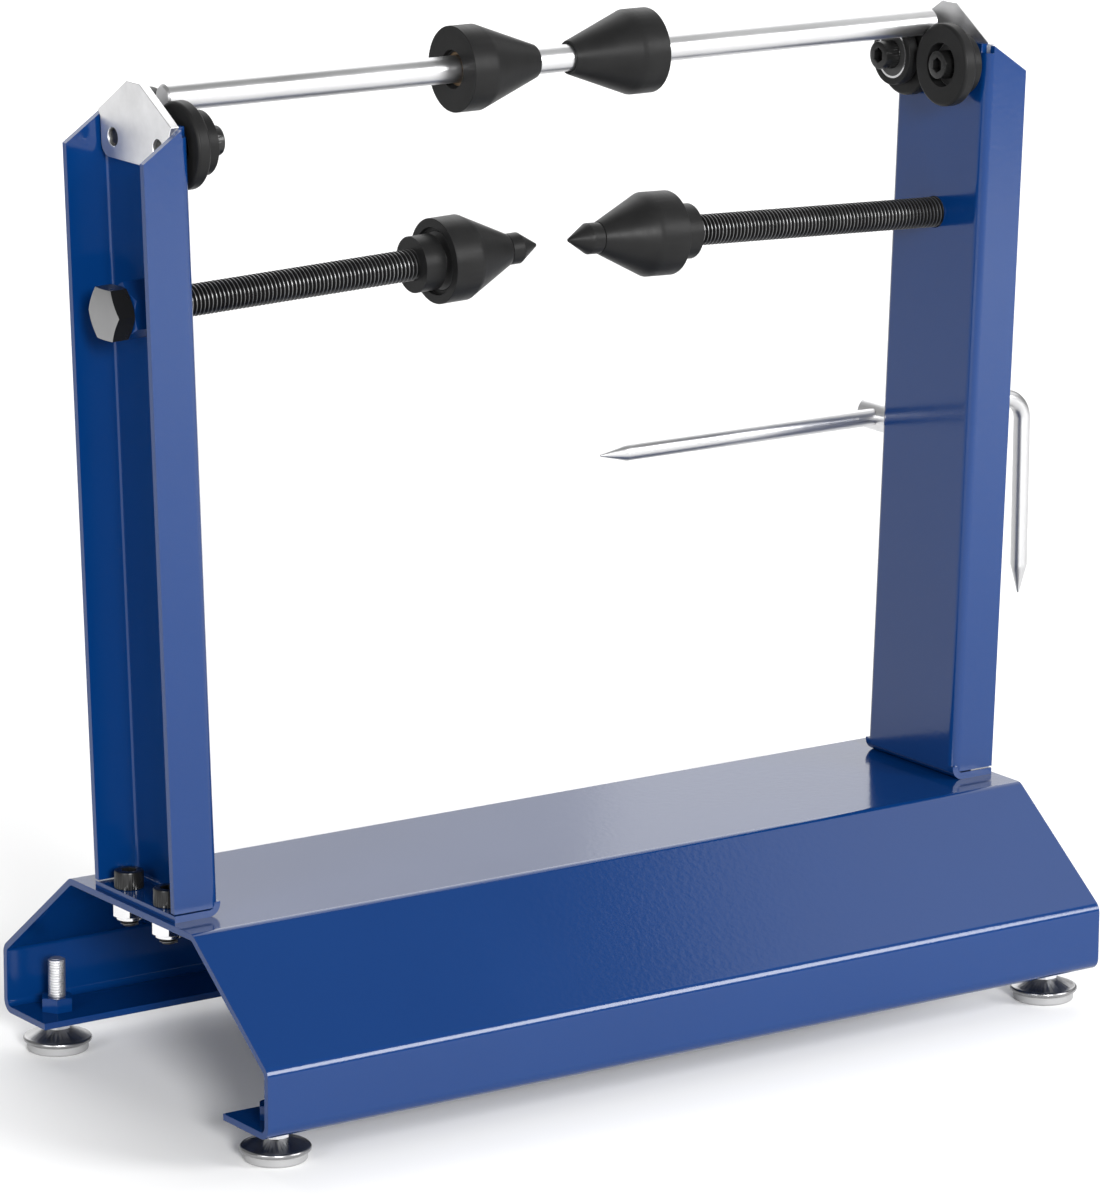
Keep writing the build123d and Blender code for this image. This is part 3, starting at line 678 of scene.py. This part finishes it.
def finishRod(piece, node, lines, diameter, place=None, reflectionBelow=None):
    # the stored thread-top mark is 1 on the tops of a thread, by the distance from its line, for
    # wear and a painted highlight there, and the stored end-face mark is a painted reflection on
    # the faces that end a head
    mesh = piece.data
    if reflectionBelow is not None:
        bare = mesh.attributes.new("bare", "FLOAT", "FACE")
        for face, value in zip(mesh.polygons, bare.data):
            value.value = 1.0 if face.normal.z < -0.5 and face.center.z < reflectionBelow else 0.0
    if place:
        mesh.transform(place)
    mesh.shade_smooth()
    mesh.set_sharp_from_angle(angle=wearAndHighlight["threadAngle"])
    bright = mesh.attributes.new("crest", "FLOAT", "POINT")
    for vertex, value in zip(mesh.vertices, bright.data):
        gaps = [vertex.co - start for start, direction in lines]
        away = min((gap - line[1] * gap.dot(line[1])).length for gap, line in zip(gaps, lines))
        value.value = 1.0 if abs(away - diameter / 2) < wearAndHighlight["reach"] else 0.0
    settle(piece, node)


m8 = dict(Diameter=8 * mm, Pitch=1.25 * mm, Sides=24)
capHead = dict(Head=13 * mm, Height=8 * mm, Socket=6 * mm, Depth=4 * mm, Ridges=36, **m8)
footScrew = dict(x=215.6 * mm, y=16.5 * mm, seat=95 * mm, shank=17 * mm)
rollerBolt = dict(longSeat=14.6 * mm, shortSeat=9.2 * mm, end=-6 * mm)

seats = [
    Vector((x * footScrew["x"], y * footScrew["y"], footScrew["seat"]))
    for x in (-1, 1) for y in (-1, 1)
]
upward = Vector((0, 0, 1))
piece = grown(
    "upright_screws_threaded", "socketScrew",
    dict(capHead, Shank=footScrew["shank"], Material=paints["black_oxide"]),
    seats, [upward] * len(seats),
)
lines = [(seat, upward) for seat in seats]
finishRod(piece, "upright_screws", lines, m8["Diameter"])

for kind, row in (("long", -1), ("short", 1)):
    seat = rollerBolt[kind + "Seat"]
    lines = [axisOf(side, seat, row * roller["apart"], roller["rise"]) for side in frames]
    piece = grown(
        kind + "_roller_bolts_threaded", "socketScrew",
        dict(capHead, Shank=seat - rollerBolt["end"], Material=paints["black_oxide"]),
        [line[0] for line in lines], [line[1] for line in lines],
    )
    finishRod(piece, kind + "_roller_bolts", lines, m8["Diameter"])

truingScrew = dict(
    seat=-17.3 * mm, reach=dict(left=195 * mm, right=205 * mm), endFromTip=58.3 * mm,
)
truingRod = dict(Width=22 * mm, Height=9 * mm, Diameter=14 * mm, Pitch=2 * mm, Sides=40)
rodToWeb = Matrix(((0, 0, 1, 0), (1, 0, 0, 0), (0, 1, 0, 0), (0, 0, 0, 1)))  # z turns inwards
for side, place in frames.items():
    length = truingScrew["reach"][side] - truingScrew["endFromTip"] - truingScrew["seat"]
    piece = grown(
        side + "_truing_screw_threaded", "hexagonScrew",
        dict(truingRod, Length=length, Material=paints["black_oxide"]),
    )
    where = place @ Matrix.Translation((truingScrew["seat"], 0, truing["rise"])) @ rodToWeb
    # the hex head's end face gets the painted reflection
    finishRod(
        piece, side + "_truing_screw", [axisOf(side, 0, 0, truing["rise"])],
        truingRod["Diameter"], where, truingRod["Height"] * -0.7,
    )

foot = dict(x=209 * mm, y=92.5 * mm)
stud = dict(Width=11 * mm, Low=10.2 * mm, High=14.5 * mm, Foot=8.7 * mm, Top=42.5 * mm, **m8)
for row, y in (("front", -1), ("rear", 1)):
    for side, x in (("left", -1), ("right", 1)):
        node = f"{row}_{side}_foot_stud"
        piece = grown(node + "_threaded", "footStud", dict(stud, Material=paints["zinc"]))
        where = Vector((x * foot["x"], y * foot["y"], 0))
        lines = [(where, upward)]
        finishRod(piece, node, lines, m8["Diameter"], Matrix.Translation(where))
print("threads and screws ready")


# floor, light and camera

studio = dict(floor=30.0, floorTone=0.88, mottle=0.985, mottlePerMetre=3, world=0.30)

floorMesh = bpy.data.meshes.new("floor")
half = studio["floor"] / 2
floorMesh.from_pydata(
    [(-half, -half, 0), (half, -half, 0), (half, half, 0), (-half, half, 0)], [], [(0, 1, 2, 3)]
)
floor = linked("floor", floorMesh)
pale = Paint("paleFloor")
mottle = pale.noise(pale.place(), studio["mottlePerMetre"])
light, dull = [studio["floorTone"]] * 3, [studio["floorTone"] * studio["mottle"]] * 3
floorMesh.materials.append(
    pale.finish(Base_Color=pale.mix(mottle, light, dull), Roughness=0.9)
)

scene.world = bpy.data.worlds.new("softWorld")
scene.world.use_nodes = True
background = scene.world.node_tree.nodes["Background"]
background.inputs["Color"].default_value = (1, 1, 1, 1)
background.inputs["Strength"].default_value = studio["world"]

lamps = dict(
    key=dict(kind="SUN", place=(-1.35, -3.7, 1.2), aim=(0, 0, 0), spread=13, power=3.7),
    rear=dict(kind="SUN", place=(1.2, 2.5, 2.9), aim=(0, 0, 0), spread=56, power=1.15),
    side=dict(kind="AREA", place=(1.3, -1.9, 1.1), aim=(0.5, -0.5, 0), spread=1.0, power=45),
    fill=dict(kind="AREA", place=(-2.4, -1.0, 0.8), aim=(0.2, 0, 0.3), spread=1.0, power=27),
    sky=dict(kind="AREA", place=(2.58, -0.1, 2.3), aim=(0, -0.1, 0), spread=1.8, power=14),
    back=dict(kind="AREA", place=(1.0, 2.7, 1.35), aim=(0, 0, 0.1), spread=3.0, power=25),
    glow=dict(kind="AREA", place=(2.3, 2.4, 0.95), aim=(0, 0, 0.1), spread=1.0, power=1.4),
)
for name, lamp in lamps.items():
    light = bpy.data.lights.new(name, lamp["kind"])
    light.energy = lamp["power"]
    if lamp["kind"] == "SUN":
        light.angle = math.radians(lamp["spread"])  # how wide the soft source looks
    else:
        light.shape, light.size = "SQUARE", lamp["spread"]  # in metres
    holder = bpy.data.objects.new(name, light)
    holder.location = lamp["place"]
    holder.visible_camera = name == "back"  # it whitens the view behind the part
    aim = Vector(lamp["aim"]) - holder.location
    holder.rotation_euler = aim.to_track_quat("-Z", "Y").to_euler()
    scene.collection.objects.link(holder)

lens = dict(
    place=(-1.56617, -2.27971, 0.87031), turn=(76.34548, -0.25576, -34.36277),
    focalPixels=6341.14, longSidePixels=1200, sensor=36, farthest=60,
)
camera = bpy.data.objects.new("viewpoint", bpy.data.cameras.new("viewpoint"))
camera.data.sensor_width = lens["sensor"]
camera.data.lens = lens["focalPixels"] / lens["longSidePixels"] * lens["sensor"]
camera.data.clip_end = lens["farthest"]
camera.location = lens["place"]
camera.rotation_euler = [math.radians(angle) for angle in lens["turn"]]
scene.collection.objects.link(camera)
scene.camera = camera
scene.view_settings.view_transform = "Standard"
print("floor, light and camera ready")
